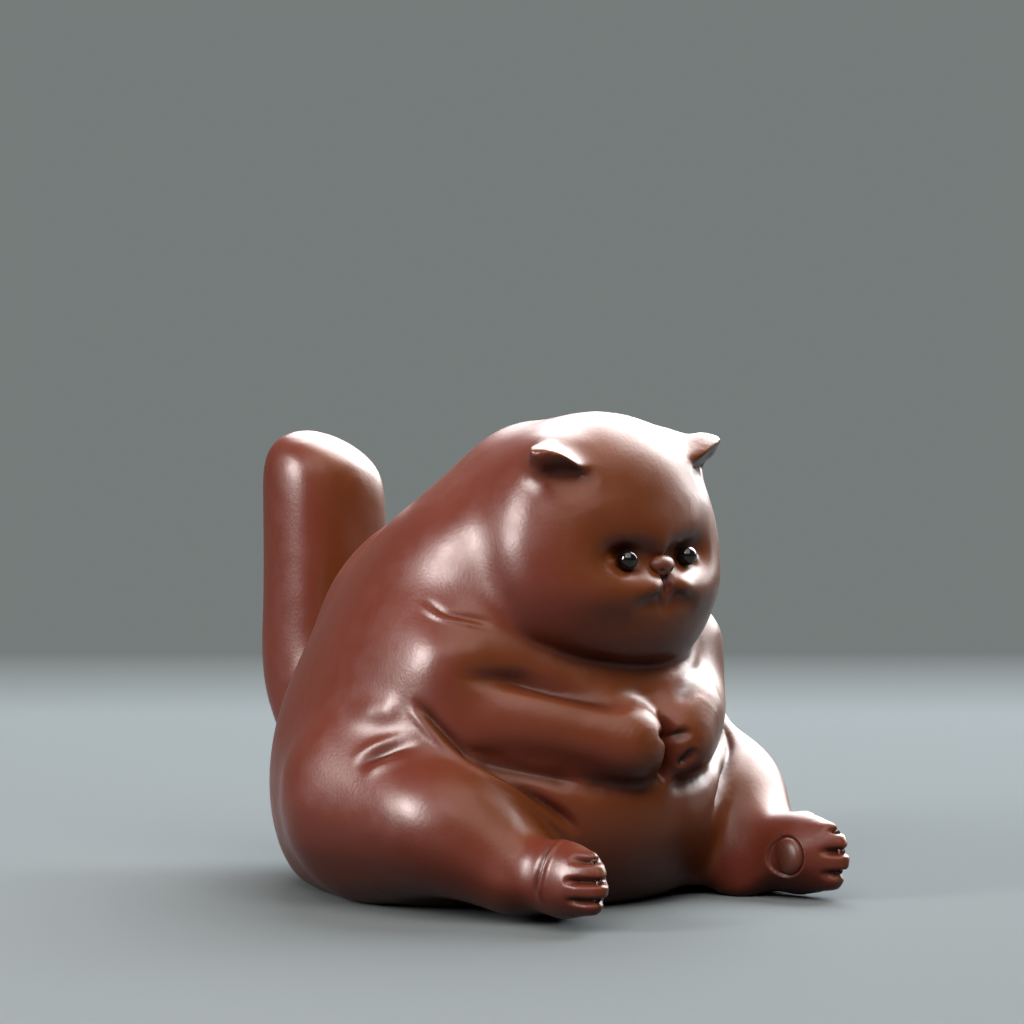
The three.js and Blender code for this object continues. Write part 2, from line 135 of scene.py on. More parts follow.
class TeaPetStudio(bpy.types.PropertyGroup):
    """Camera, lamps and floor."""

    azimuth: bpy.props.FloatProperty(
        name="Azimuth", description="Side that the camera stands on", subtype="ANGLE",
        default=math.radians(-43))
    elevation: bpy.props.FloatProperty(
        name="Elevation", description="Camera's height over the figure's middle", subtype="ANGLE",
        default=math.radians(5.2))
    distance: bpy.props.FloatProperty(
        name="Distance", description="Camera to the figure's middle", default=0.68, unit="LENGTH")
    aim_height: bpy.props.FloatProperty(
        name="Aim Height", description="Height of the figure's middle", default=0.031, unit="LENGTH")
    floor: bpy.props.FloatVectorProperty(
        name="Floor", description="Cloth under the figure, as it is seen", subtype="COLOR",
        default=(0.18, 0.208, 0.22))
    bounce: bpy.props.FloatVectorProperty(
        name="Bounce", description="Cloth under the figure, as it lights the figure", subtype="COLOR",
        default=(0.035, 0.035, 0.035))
    wall: bpy.props.FloatVectorProperty(
        name="Wall", description="Backdrop behind the cloth", subtype="COLOR", default=(0.18, 0.2, 0.195))
    room: bpy.props.FloatVectorProperty(
        name="Room", description="Room around the stage", subtype="COLOR", default=(0.1, 0.105, 0.11))


# Mesh tools


def finished(name, mesh, material, *nodes):
    """A piece of the figure: it rides on the body and stands for the nodes."""
    piece = bpy.data.objects.new(name, mesh)
    bpy.context.scene.collection.objects.link(piece)
    mesh.materials.clear()
    mesh.materials.append(material)
    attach(piece, BODY)
    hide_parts(*nodes)
    return piece


def middle(node):
    """The middle of a node's box, in sculpting millimetres."""
    low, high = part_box(node)
    return np.array((low + high) / 2) / MM - ORIGIN


def placed(point):
    """A sculpting place in metres of the frame."""
    return Vector(point + ORIGIN) * MM


def remeshed(mesh, voxel):
    """A copy of a mesh, drawn again as one skin over cells."""
    carrier = bpy.data.objects.new("carrier", mesh)
    bpy.context.scene.collection.objects.link(carrier)
    modifier = carrier.modifiers.new("fuse", "REMESH")
    modifier.mode = "VOXEL"
    modifier.voxel_size = voxel
    depsgraph = bpy.context.evaluated_depsgraph_get()
    result = bpy.data.meshes.new_from_object(carrier.evaluated_get(depsgraph))
    bpy.data.objects.remove(carrier)
    return result


def keep_largest_island(mesh):
    """Leaves only the outer skin: the island with the most vertices."""
    bm = bmesh.new()
    bm.from_mesh(mesh)
    seen = set()
    islands = []
    for start in bm.verts:
        if start in seen:
            continue
        seen.add(start)
        island = [start]
        for vertex in island:
            for edge in vertex.link_edges:
                other = edge.other_vert(vertex)
                if other not in seen:
                    seen.add(other)
                    island.append(other)
        islands.append(island)
    islands.sort(key=len)
    for island in islands[:-1]:
        bmesh.ops.delete(bm, geom=island, context="VERTS")
    bm.to_mesh(mesh)
    bm.free()


def eased(value):
    """A soft step from 0 to 1."""
    t = np.clip(value, 0, 1)
    return t * t * (3 - 2 * t)


def faded(share, fade):
    """A stroke's strength along its path: it fades in and out over two shares of the way, or not at a 0."""
    ends = np.ones(len(share))
    if fade[0]:
        ends *= eased(share / fade[0])
    if fade[1]:
        ends *= eased((1 - share) / fade[1])
    return ends


def along(points, steps=12):
    """Points close together on a smooth curve through the given ones."""
    p = np.array(points, float)
    p = np.vstack([2 * p[0] - p[1], p, 2 * p[-1] - p[-2]])
    t = np.linspace(0, 1, steps, endpoint=False)[:, None]
    runs = []
    for a, b, c, d in zip(p, p[1:], p[2:], p[3:]):
        runs.append(0.5 * (2 * b + (c - a) * t + (2 * a - 5 * b + 4 * c - d) * t**2
                           + (3 * b - a - 3 * c + d) * t**3))
    return np.vstack([*runs, p[-2:-1]])


# How firmly the burnisher and the folding tool work
TOUCHED = 0.003
PASS_SHARE = 0.5
FACET_PASSES = 2
FILL_FIRM = 1.6
EASE_FIRM = 1.5
LIP_OFF = 1.7
LIP_END = 3.4

# How a curve's neighbourhood is measured: the same in all directions, or as seen from the front
ALL_ROUND = (1, 1, 1)
FRONT = (1, 0.1, 1)


class Clay:
    """The skin while it is worked, in millimetres. Strokes are given for the cat's right side and do both."""

    def __init__(self, mesh):
        self.mesh = mesh
        # Two painted layers: painted shade, and painted warm light on the front, which is kept in tea
        for light_and_shade_paint in ("painted_shade", "tea"):
            mesh.attributes.new(light_and_shade_paint, "FLOAT", "POINT")
        self.read()

    def read(self):
        count = len(self.mesh.vertices)
        flat = np.empty(count * 3, np.float32)
        self.mesh.vertices.foreach_get("co", flat)
        self.places = flat.reshape(-1, 3).astype(float) / MM - ORIGIN
        edges = np.empty(len(self.mesh.edges) * 2, np.int32)
        self.mesh.edges.foreach_get("vertices", edges)
        self.edges = edges.reshape(-1, 2)
        self.painted_shade = np.empty(count, np.float32)
        self.mesh.attributes["painted_shade"].data.foreach_get("value", self.painted_shade)
        self.read_normals()

    def read_normals(self):
        flat = np.empty(len(self.mesh.vertices) * 3, np.float32)
        self.mesh.vertex_normals.foreach_get("vector", flat)
        self.normals = flat.reshape(-1, 3).astype(float)

    def write(self):
        self.mesh.vertices.foreach_set("co", ((self.places + ORIGIN) * MM).astype(np.float32).ravel())
        self.mesh.attributes["painted_shade"].data.foreach_set("value", self.painted_shade.astype(np.float32))
        self.mesh.update()
        self.read_normals()

    def folded(self):
        """The places with the left side laid over the right."""
        folded = self.places.copy()
        folded[:, 0] = -np.abs(folded[:, 0])
        return folded

    def mirror(self, ids):
        """What a direction of the right side is multiplied by where a vertex lies on the left."""
        return np.where(self.places[ids, :1] > 0, -1.0, 1.0) * (1, 0, 0) + (0, 1, 1)

    def on_side(self, ids, only):
        """True on the one side that is given, or everywhere where none is."""
        return self.places[ids, 0] * only > 0 if only else np.full(len(ids), True)

    def face_centres(self):
        """The middles of the faces, in metres of the frame."""
        flat = np.empty(len(self.mesh.polygons) * 3, np.float32)
        self.mesh.polygons.foreach_get("center", flat)
        return flat.reshape(-1, 3)

    def corners_of(self, faces):
        """The vertices, in order, of the faces that a mask picks."""
        corners = np.empty(len(self.mesh.loops), np.int32)
        self.mesh.loops.foreach_get("vertex_index", corners)
        sizes = np.empty(len(self.mesh.polygons), np.int32)
        self.mesh.polygons.foreach_get("loop_total", sizes)
        return np.unique(corners[np.repeat(faces, sizes)])

    def near(self, centre, radii, only=0):
        """A soft spot on both sides, or on the one that is given: 1 in the middle, fading past the radii."""
        d = (self.folded() - np.array(centre, float)) / np.array(radii, float)
        return np.exp(-(d**2).sum(1)) * self.on_side(np.arange(len(d)), only)

    def near_path(self, path, reach, view=ALL_ROUND):
        """Each vertex's distance to a curve, its share of the way along it, and the curve's heading there.
        A view weighs the three directions, so that a small middle one measures as seen from the front."""
        line = along(self.on_skin(path) if view == ALL_ROUND else path) * view
        lengths = np.concatenate([[0], np.cumsum(np.linalg.norm(np.diff(line, axis=0), axis=1))])
        q = self.folded() * view
        close = np.all((q > line.min(0) - reach) & (q < line.max(0) + reach), axis=1)
        ids = np.flatnonzero(close)
        best = np.full(len(ids), np.inf)
        share = np.zeros(len(ids))
        foot = np.zeros((len(ids), 3))
        heading = np.zeros((len(ids), 3))
        for i, (a, b) in enumerate(zip(line, line[1:])):
            run = b - a
            t = np.clip((q[ids] - a) @ run / (run @ run), 0, 1)
            on = a + t[:, None] * run
            d = np.linalg.norm(q[ids] - on, axis=1)
            win = d < best
            best[win] = d[win]
            foot[win] = on[win]
            heading[win] = run / np.linalg.norm(run)
            share[win] = (lengths[i] + t[win] * (lengths[i + 1] - lengths[i])) / lengths[-1]
        return ids, best, share, q[ids] - foot, heading

    def on_skin(self, path):
        """A path's points, moved to the nearest places on the skin."""
        q = self.folded()
        return [q[np.argmin(((q - point) ** 2).sum(1))] for point in np.array(path, float)]

    def evened(self, weight, passes, outward=False):
        """The places after passes in which each goes towards the mean of its neighbours, or only outwards."""
        edges = self.edges[(weight[self.edges] > TOUCHED).any(axis=1)]
        picked, corners = np.unique(edges, return_inverse=True)
        a, b = corners.reshape(-1, 2).T
        count = len(picked)
        degree = np.bincount(corners.ravel(), minlength=count)[:, None]
        share = PASS_SHARE * weight[picked][:, None]
        places = self.places[picked]
        for _ in range(passes):
            sums = [
                np.bincount(a, places[b, k], count) + np.bincount(b, places[a, k], count) for k in range(3)]
            move = np.stack(sums, axis=1) / degree - places
            if outward:
                move *= np.einsum("ij,ij->i", move, self.normals[picked])[:, None] > 0
            places += share * move
        result = self.places.copy()
        result[picked] = places
        return result

    def relax(self, weight, passes):
        """Burnishes by the given weight."""
        self.places = self.evened(weight, passes)
        self.write()

    def hollow(self, passes):
        """How deep each place lies under the skin's larger form, in millimetres."""
        form = self.evened(np.ones(len(self.places)), passes)
        return np.einsum("ij,ij->i", form - self.places, self.normals)

    def refine(self, mask):
        """Halves the edges where the mask is true, then eases the new facets."""
        bm = bmesh.new()
        bm.from_mesh(self.mesh)
        edges = [e for e in bm.edges if mask[e.verts[0].index] and mask[e.verts[1].index]]
        old = len(bm.verts)
        bmesh.ops.subdivide_edges(bm, edges=edges, cuts=1, use_grid_fill=True)
        bm.to_mesh(self.mesh)
        bm.free()
        self.read()
        fresh = np.zeros(len(self.places))
        fresh[old:] = 1
        fresh[:old][mask] = 1
        self.relax(fresh, FACET_PASSES)

    def fill(self, centre, radii, passes, only=0):
        """Burnishes clay into the hollows of a spot, and takes none off."""
        weight = np.minimum(1, FILL_FIRM * self.near(centre, radii, only))
        self.places = self.evened(weight, passes, outward=True)
        self.write()

    def swell(self, centre, radii, height, only=0):
        """Raises a soft mound, or sinks a hollow where the height is negative."""
        self.places += self.normals * (height * self.near(centre, radii, only))[:, None]
        self.write()

    def ease(self, centre, radii, passes, only=0):
        """Burnishes a spot smooth."""
        self.relax(np.minimum(1, EASE_FIRM * self.near(centre, radii, only)), passes)

    def stroke(self, path, width, depth, sharp=2.0, fade=(0.15, 0.15), lip=0.0, lip_toward=(0, 0, 1),
               dark=1.0, only=0):
        """Presses a groove along a curve, with a lip on one side of it; a negative depth makes a ridge. A
        groove also gets painted shade, by the share dark.
        """
        ids, distance, share, offset, heading = self.near_path(path, 5 * width)
        ends = faded(share, fade) * self.on_side(ids, only)
        groove = np.exp(-((distance / width) ** sharp)) * ends
        out = self.normals[ids]
        toward = np.array(lip_toward, float) - heading * (heading @ lip_toward)[:, None]
        local = out * self.mirror(ids)
        toward -= local * np.einsum("ij,ij->i", toward, local)[:, None]
        toward /= np.linalg.norm(toward, axis=1)[:, None] + 1e-9
        side = np.einsum("ij,ij->i", offset, toward)
        bank = np.exp(-(((side - LIP_OFF * width) / width) ** 2))
        reach = np.exp(-((distance / (LIP_END * width)) ** 4))
        self.places[ids] += out * (lip * (bank * reach * ends) - depth * groove)[:, None]
        # Painted shade in the groove, by the share dark
        if depth > 0:
            self.painted_shade[ids] = np.maximum(self.painted_shade[ids], dark * groove)
        self.write()

    def pull(self, path, width, move, sharp=2.0, fade=(0.15, 0.15), dark=0.0, only=0, view=ALL_ROUND):
        """Moves the clay along a curve the same way all over, so that it can overhang, and paints shade there
        by the share dark.
        """
        ids, distance, share, *_ = self.near_path(path, 4 * width, view)
        weight = faded(share, fade) * np.exp(-((distance / width) ** sharp)) * self.on_side(ids, only)
        self.places[ids] += weight[:, None] * self.mirror(ids) * np.array(move, float)
        # Painted shade along the curve, by the share dark
        self.painted_shade[ids] = np.maximum(self.painted_shade[ids], dark * weight)
        self.write()


# The clay skin


# A ball fills the hollow of each of these nodes, as a share of its box, and a plug fills the disc's vent
HOLLOW_FILLS = {"torso_back_shell": 0.36, "face_shell": 0.4}
VENT_PLUG = 6 * MM


def luted_copy(lute):
    """Copies of the clay solids, swelled so that their joints close, with the hollows filled."""
    bm = bmesh.new()
    for node in (*CLAY_PIECES, *PLUG_NODES):
        bm.from_mesh(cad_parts[node].data)
    bmesh.ops.remove_doubles(bm, verts=bm.verts, dist=WELD)
    bm.normal_update()
    for vertex in bm.verts:
        vertex.co += vertex.normal * lute
    for node, share in HOLLOW_FILLS.items():
        low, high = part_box(node)
        place = Matrix.Translation((0, (low.y + high.y) / 2, (low.z + high.z) / 2))
        size = Matrix.Diagonal((*(share * (high - low)), 1))
        bmesh.ops.create_uvsphere(bm, u_segments=24, v_segments=16, radius=1, matrix=place @ size)
    bmesh.ops.create_cone(
        bm, cap_ends=True, segments=24, radius1=VENT_PLUG, radius2=VENT_PLUG,
        depth=DISC_HIGH.z - DISC_LOW.z + 2 * lute, matrix=Matrix.Translation((DISC_LOW + DISC_HIGH) / 2))
    mesh = bpy.data.meshes.new("luted")
    bm.to_mesh(mesh)
    bm.free()
    return mesh


def fused_clay(settings):
    """One continuous skin over all the clay solids."""
    mesh = remeshed(luted_copy(settings.lute), settings.voxel)
    keep_largest_island(mesh)
    clay = Clay(mesh)
    clay.relax(np.ones(len(clay.places)), FACET_PASSES)
    clay.places -= clay.normals * settings.lute / MM
    clay.write()
    return clay


# Where the burnisher goes: places, radii and strengths. It runs large forms together and spares small ones
BURNISH_ALL = 0.3
LARGE_FORMS = {
    "head": ((-8, -8, 56), (16, 16, 9), 1.0),
    "nape": ((-20, -8, 46), (7, 9, 9), 1.0),
    "back": ((-20, 12, 30), (16, 16, 26), 1.0),
    "haunch": ((-29, 8, 12), (14, 18, 16), 0.9),
    "shoulder": ((-24, -6, 34), (8, 8, 9), 0.9),
    "tail root": ((0, 36, 20), (16, 14, 18), 1.0),
    "tail": ((0, 36, 45), (12, 12, 16), 0.6),
    "cheek": ((-10, -24, 45), (9, 8, 12), 0.5),
    "shin": ((-28, -20, 8), (8, 12, 8), 0.5),
    "belly": ((0, -29, 9), (14, 8, 10), 0.8),
}
SMALL_FORMS = {
    "foot": ((-22, -40, 5), (9, 7, 9), 0.3),
    "ear": ((-14, -25, 58), (6, 6, 4), 0.08),
    "paw": ((-4, -33, 22), (5, 5, 7), 0.15),
    "socket": ((-5.4, -30, 45.5), (4, 4, 3.5), 0.2),
}


def burnish(clay, passes):
    """Smooths the large forms into one another and leaves the small ones crisp."""
    weight = np.full(len(clay.places), BURNISH_ALL)
    for centre, radii, strength in LARGE_FORMS.values():
        weight = np.maximum(weight, strength * np.minimum(1, FILL_FIRM * clay.near(centre, radii)))
    for centre, radii, strength in SMALL_FORMS.values():
        cover = np.minimum(1, FILL_FIRM * clay.near(centre, radii))
        weight = weight * (1 - cover) + strength * cover
    clay.relax(weight, passes)


def any_of(*masks):
    """True where any of the masks is above a half."""
    return np.max(masks, axis=0) > 0.5


def spot(clay, centre, radii):
    """1 inside an ellipsoid on either side of the cat, 0 outside."""
    d = (clay.folded() - np.array(centre, float)) / np.array(radii, float)
    return ((d**2).sum(1) < 1).astype(float)


def strip(clay, path, reach):
    """1 near a curve, 0 elsewhere."""
    mask = np.zeros(len(clay.places))
    ids, distance, *_ = clay.near_path(path, reach)
    mask[ids] = distance < reach
    return mask


# Curves that the folding tool follows, on the cat's right side
NECK_FOLD = ((-23.4, -10.6, 40.6), (-22.3, -13.8, 38.4), (-20.1, -16.4, 37.4), (-18, -18.8, 36.9))
JAW_CREASE = ((-18.2, -18.4, 37.6), (-15, -22, 35.3), (-10, -26, 32.6), (-5, -27.8, 31.5), (0, -28.2, 31.2))
FOREARM_TOP = (
    (-22.6, -15, 30.6), (-20.4, -17.6, 30.3), (-17, -22, 29.9), (-13, -25.4, 28.9), (-8.5, -28.8, 27.2),
    (-4.8, -31, 26.2))
FAR_FOREARM = ((-3, -31, 24.5), (-8, -29.5, 26.5), (-13, -26, 28.5))
FAR_FOREARM_TOP = (
    (-16, -22.6, 30.6), (-12.9, -25.3, 30), (-8.3, -28.6, 29.7), (-4.5, -30.5, 28.1), (-1.9, -30.8, 26.4))
LEG_UNDER = ((-13, -22, 3), (-15, -27, 3), (-18, -33, 3))
FOREARM_UNDER = ((-23.8, -17.5, 21.4), (-20.7, -20.7, 19.5), (-15.6, -25.4, 18.2), (-9.5, -29, 16.9))
PAW_UNDER = (
    (-12.5, -26.9, 17.6), (-9.6, -29.3, 16.8), (-6, -30.7, 16.1), (-3, -31.1, 16.1), (-1.2, -31, 17.2))
THIGH_CREASE = (
    (-27.4, -12.8, 28.2), (-26.4, -14.8, 26), (-24.2, -17.9, 22), (-22, -21.4, 18.6), (-17.7, -24.4, 15.8),
    (-14.6, -26.8, 13.4), (-11.4, -28.4, 10.4))
ANKLE_CREASE = (
    (-20.5, -33.8, 12), (-23.3, -34.4, 11), (-25.2, -34.4, 8.2), (-25.6, -33.8, 5), (-25, -33.4, 2))
EAR_RIM = (
    (-16.4, -23.2, 59.8), (-14.6, -25, 60), (-12.4, -26.2, 59.4), (-10.2, -27, 58.5), (-8.2, -27.3, 57.5))
EAR_LIP = ((-14.6, -25.4, 55), (-12, -27.2, 55.4), (-9.4, -27.9, 54.7))
EAR_CUP = (
    (-15.6, -24.4, 55.5), (-14.2, -25.8, 56.5), (-12.2, -27, 56.9), (-10.2, -27.6, 56.5), (-8.6, -27.9, 55.9))
WAIST_ROLL = ((-29.4, -2, 24.4), (-28.4, -7, 25.6), (-27.6, -12, 26))
HIP_FOLD = ((-32.4, -7.8, 18.2), (-31, -9.4, 20), (-28.6, -12.6, 21.2), (-26.6, -15, 21.5))


def ease_the_back(clay):
    """Runs the nape, the shoulders, the legs and the tail's root into the body."""
    # The nape and the shoulders
    clay.fill((0, -5, 58), (15, 12, 9), 200)
    clay.swell((0, -4, 57), (13, 8, 6), 2.6)
    clay.swell((0, -18, 65), (13, 11, 5), -0.6)
    clay.fill((-22, -9, 45), (6, 8, 9), 60)
    clay.swell((-26, -3, 30), (6, 7, 10), 1.6)
    clay.fill((-26, -7, 33), (6, 8, 9), 90)
    clay.fill((-29, -6, 24), (5, 7, 5), 40)
    # The tail's root, and the legs beside the belly
    clay.fill((0, 33, 14), (10, 8, 12), 80)
    clay.fill((-19, -29, 3), (8, 7, 5), 80)
    clay.swell((-15.5, -30, 3), (4, 6, 4), 1.8)
    clay.pull(LEG_UNDER, 3.2, (1.2, 0, -2.6), fade=(0.2, 0.2))
    clay.swell((-24, -24, 14), (7, 8, 7), 0.9)
    # One long burnish from the shoulders to the nape, which is then built up again
    shoulders_and_nape = np.maximum(
        clay.near((-27, -9, 31), (6, 9, 11)), clay.near((0, -4, 58), (16, 10, 9)))
    clay.relax(np.minimum(1, EASE_FIRM * shoulders_and_nape), 220)
    clay.swell((0, -4.5, 61), (13, 7, 5.5), 2.4)
    clay.relax(clay.near((0, -5, 60), (16, 9, 8)), 40)
    # The left forearm, the upper arms, the knees, the tail and the haunches
    clay.pull(FAR_FOREARM, 3.0, (0, -0.3, 1.6), fade=(0.25, 0.3), only=1)
    clay.swell((-25, -15.5, 33), (5, 5, 6), 1.5)
    clay.swell((-21.5, -17.4, 33.2), (5.5, 5, 4), 2.4)
    clay.ease((-25, -14, 33), (6, 7, 6), 90)
    clay.swell((-31, -18, 13.5), (7, 8, 7), 0.9)
    clay.ease((-23, -27, 14.5), (4, 6, 4), 120)
    clay.ease((-16, -28, 4), (6, 8, 5), 60)
    clay.ease((-7, 30, 42), (7, 8, 18), 160)
    clay.fill((-28.5, 11.5, 9), (6, 7, 13), 260)
    clay.ease((-28.5, 11.5, 9), (6, 7, 13), 80)
    clay.ease((-20.5, -19.6, 31.2), (3.4, 3, 2.4), 80)
    clay.ease((-20.8, -15.6, 38.8), (4, 4, 2.6), 80)
    clay.fill((-9, -28.5, 27), (6, 4, 5), 160, only=1)
    clay.ease((-9, -29, 26.5), (6, 4, 5), 160, only=1)
    clay.swell((-9, -29, 26), (6, 4, 5), 1.6, only=1)


def fold_the_skin(clay):
    """Presses the creases between the rolls of fat, and paints shade into them."""
    # Each groove gets painted shade, by its share dark
    clay.stroke(JAW_CREASE, 1.1, 1.0, sharp=1.6, fade=(0.55, 0))
    clay.stroke(NECK_FOLD, 0.5, 0.32, sharp=1.6, lip=0.3, lip_toward=(0, 0, -1), fade=(0.3, 0.35), dark=0.3)
    clay.stroke(FOREARM_TOP, 1.2, 1.5, sharp=1.7, fade=(0.4, 0.25), dark=0.9, only=-1)
    clay.stroke(FAR_FOREARM_TOP, 1.2, 0.8, sharp=1.7, fade=(0.4, 0.2), dark=0.9, only=1)
    clay.ease((-11.5, -25, 33), (3, 3, 1.6), 12)
    clay.stroke(FOREARM_UNDER, 1.1, 1.0, sharp=1.5, fade=(0.25, 0.3))
    clay.stroke(PAW_UNDER, 1.2, 0.9, sharp=1.6, fade=(0.3, 0.15))
    clay.stroke(THIGH_CREASE, 0.8, 0.9, sharp=1.4, fade=(0.15, 0.2))
    clay.stroke(THIGH_CREASE, 0.8, 0, lip=0.5, lip_toward=(-0.5, 0, -1), fade=(0.15, 0.2), only=-1)
    clay.stroke(WAIST_ROLL, 1.8, -0.5, fade=(0.5, 0.3))
    clay.stroke(HIP_FOLD, 1.0, 0.6, sharp=1.8, lip=0.35, lip_toward=(0, 0, 1), fade=(0.4, 0.6), dark=0.7)
    clay.stroke(HIP_FOLD, 1.0, 0, lip=0.3, lip_toward=(0, 0, -1), fade=(0.4, 0.6))
    clay.stroke(ANKLE_CREASE, 0.5, 0.5, sharp=1.5, lip=0.45, lip_toward=(0, -1, 0), fade=(0.3, 0.3))


def shape_the_ears(clay):
    """Turns the ears into short visors over cups with painted shade in them."""
    clay.fill((-12, -22, 60.5), (5, 5, 3.5), 120)
    clay.swell((-12.4, -22.3, 60.8), (3.6, 4, 2.6), 1.6)
    clay.ease((-11.5, -22, 61), (4, 4, 2.2), 40)
    clay.fill((-12.5, -26, 55.6), (5, 4, 3), 150)
    clay.relax(clay.near((-12.5, -26.5, 55), (5, 4, 2.2)), 30)
    # Painted shade in the cup under the visor
    clay.pull(EAR_CUP, 1.2, (0.5, 1.4, -0.1), fade=(0.25, 0.3), dark=1.0)
    clay.pull(EAR_LIP, 1.1, (0.3, 0.7, 0), fade=(0.3, 0.3))
    clay.pull(EAR_RIM, 0.9, (-0.3, -0.9, 0), fade=(0.2, 0.35))
    clay.pull(EAR_RIM, 1.6, (0, 0.3, -0.8), fade=(0.1, 0.3), only=-1)
    clay.fill((-12.5, -23.2, 60.2), (5, 3.2, 2.4), 160, only=-1)
    clay.ease((-15, -24.6, 59.2), (2.4, 2, 1.8), 20, only=-1)
    clay.relax(0.6 * clay.near((-12.4, -26, 58.4), (5, 3, 2.6)), 4)
    clay.ease((-11.2, -27.3, 55), (5, 3, 1.8), 90)


BROW = ((-9.8, -28.3, 49), (-6, -29.8, 49.5), (-3, -30.3, 49.3), (0, -30.5, 48.9))
EYE_LINE = ((-11, -27.8, 46), (-8, -29.4, 46), (-4, -30.6, 45.7), (0, -31, 45.4))
PHILTRUM = ((0, -32, 43.2), (0, -32.6, 41.6), (0, -32.4, 40.2))
MOUTH = ((-0.2, -32.4, 41), (-2.4, -32.2, 40.2), (-4.1, -31.8, 39.7), (-6.4, -31, 38.8))


def model_the_face(clay):
    """Sets the brow, the sockets, the muzzle and the mouth, with painted shade along the eye line, the
    philtrum and the mouth.
    """
    # Painted shade under the brow, along the eye line
    clay.pull(EYE_LINE, 2.0, (0, 1.0, 0), fade=(0.45, 0), dark=0.3)
    clay.pull(BROW, 2.8, (0, -0.4, -0.3), fade=(0.45, 0))
    clay.swell((-6, -31, 41.4), (4.6, 4, 2.8), 1.0)
    clay.swell((-10, -28.4, 42), (4.5, 5, 3.6), 0.6)
    clay.swell((-2.4, -32, 41.6), (2.2, 3, 1.7), 0.9)
    clay.swell((-5.3, -30, 45.6), (1.8, 3, 1.6), -0.7)
    clay.swell((-7.2, -29.2, 45.2), (0.8, 1.5, 0.7), 0.8)
    clay.swell((0, -31, 46.2), (1.2, 2, 1.6), 0.5)
    # Painted shade in the philtrum and the mouth
    clay.pull(PHILTRUM, 0.55, (0, 0.8, 0), sharp=1.8, fade=(0, 0.5), dark=0.9)
    clay.stroke(MOUTH, 1.2, 0.8, sharp=1.9, fade=(0.05, 0.7), dark=0.6)
    clay.swell((0, -32, 39.6), (1.6, 2.5, 1.3), -0.45)
    clay.ease((0, -32, 39.9), (1.6, 2.4, 1.3), 40)


# The hind feet's toe slots: heights, width, depth, and where they start on a foot's two sides
TOE_SLOTS = (3.6, 6.7, 9.5)
TOE_SLOT_WIDTH = 0.5
TOE_SLOT_DEPTH = 1.1
TOE_SLOT_RUN = 2.4
TOE_START_INNER = -40
TOE_START_OUTER = -38.2
FOOT_TOP = 13

# The right leg's lift off the tray: how far at the foot, and where it starts, going out, forwards and down
FOOT_LIFT = 1.0
LIFT_OUT = (-10, 6)
LIFT_FORWARD = (-8, 22)
LIFT_HEIGHT = 8


def slot_the_toes(clay):
    """Parts the hind feet's toes, paints shade into the slots, and lifts the right foot a little off the
    tray.
    """
    q = clay.folded()
    for height in TOE_SLOTS:
        inner = clay.normals[:, 0] * clay.places[:, 0] < 0
        start = np.where(inner, TOE_START_INNER, TOE_START_OUTER)
        slot = np.exp(-(((q[:, 2] - height) / TOE_SLOT_WIDTH) ** 2)) * eased((start - q[:, 1]) / TOE_SLOT_RUN)
        slot *= q[:, 2] < FOOT_TOP
        clay.places -= clay.normals * (TOE_SLOT_DEPTH * slot)[:, None]
        # Painted shade in the slots
        clay.painted_shade = np.maximum(clay.painted_shade, slot)
    clay.write()
    x, y, z = clay.places.T
    forward = np.clip((LIFT_FORWARD[0] - y) / LIFT_FORWARD[1], 0, 1)
    on_leg = eased((LIFT_OUT[0] - x) / LIFT_OUT[1]) * forward
    clay.places[:, 2] = z + FOOT_LIFT * on_leg * (1 - eased(z / LIFT_HEIGHT))
    clay.write()


PAW_GAP = ((0, -30.5, 26), (0, -33, 22.8), (0, -33, 19.5), (0, -31, 15.5))
PAW_NOTCH = ((-0.4, -32.6, 22.3), (-1.6, -33.2, 22.7), (-3.3, -33.6, 23.3))
PAW_SLOT = ((-1.5, -32.4, 18.3), (-2.5, -33.4, 19.6), (-3.6, -33.8, 21.1))


def notch_the_paws(clay):
    """Rounds the folded paws, parts one from the other and presses the notches of their toes, with painted
    shade in the gap and the notches.
    """
    clay.fill((-7, -29.5, 25.5), (7, 5, 4), 80)
    clay.ease((-7, -30, 25.5), (5, 4, 3), 40)
    clay.fill((0, -32, 21), (3, 4, 6), 60)
    # Painted shade in the gap between the paws and in the notches
    clay.pull(PAW_GAP, 0.8, (0, 2.2, 0), sharp=1.8, fade=(0.3, 0.3), dark=1.0, view=FRONT)
    clay.pull(PAW_NOTCH, 0.6, (0, 1.0, 0), sharp=1.8, fade=(0, 0.6), dark=1.0, view=FRONT)
    clay.pull(PAW_SLOT, 0.6, (0, 1.0, 0), sharp=1.8, fade=(0.4, 0.5), dark=1.0, only=1, view=FRONT)


# The sole pads' recesses: their radius, the run of their wall, their depth, and the ring of painted shade
# around a pad
RECESS_RADIUS = 2.55
RECESS_WALL = 0.35
RECESS_DEPTH = 0.45
RECESS_REACH = 2.5
SOLE_FACING = -0.3
RING_RADIUS = 2.65
RING_WIDTH = 0.3
RING_PAINTED_SHADE = 0.4


def recess_the_soles(clay):
    """Sinks a round recess for the pad in the inner side of each hind foot, and paints shade in a ring around
    it.
    """
    offset = clay.folded() - middle("right_sole_pad")
    inner = (np.abs(offset[:, 0]) < RECESS_REACH) & (
        clay.normals[:, 0] * np.sign(clay.places[:, 0]) < SOLE_FACING)
    reach = np.linalg.norm(offset[:, 1:], axis=1)
    recess = inner * (1 - eased((reach - RECESS_RADIUS) / RECESS_WALL))
    clay.places -= clay.normals * (RECESS_DEPTH * recess)[:, None]
    # Painted shade in a ring around the pad
    ring = inner * np.exp(-(((reach - RING_RADIUS) / RING_WIDTH) ** 2))
    clay.painted_shade = np.maximum(clay.painted_shade, RING_PAINTED_SHADE * ring)
    clay.write()


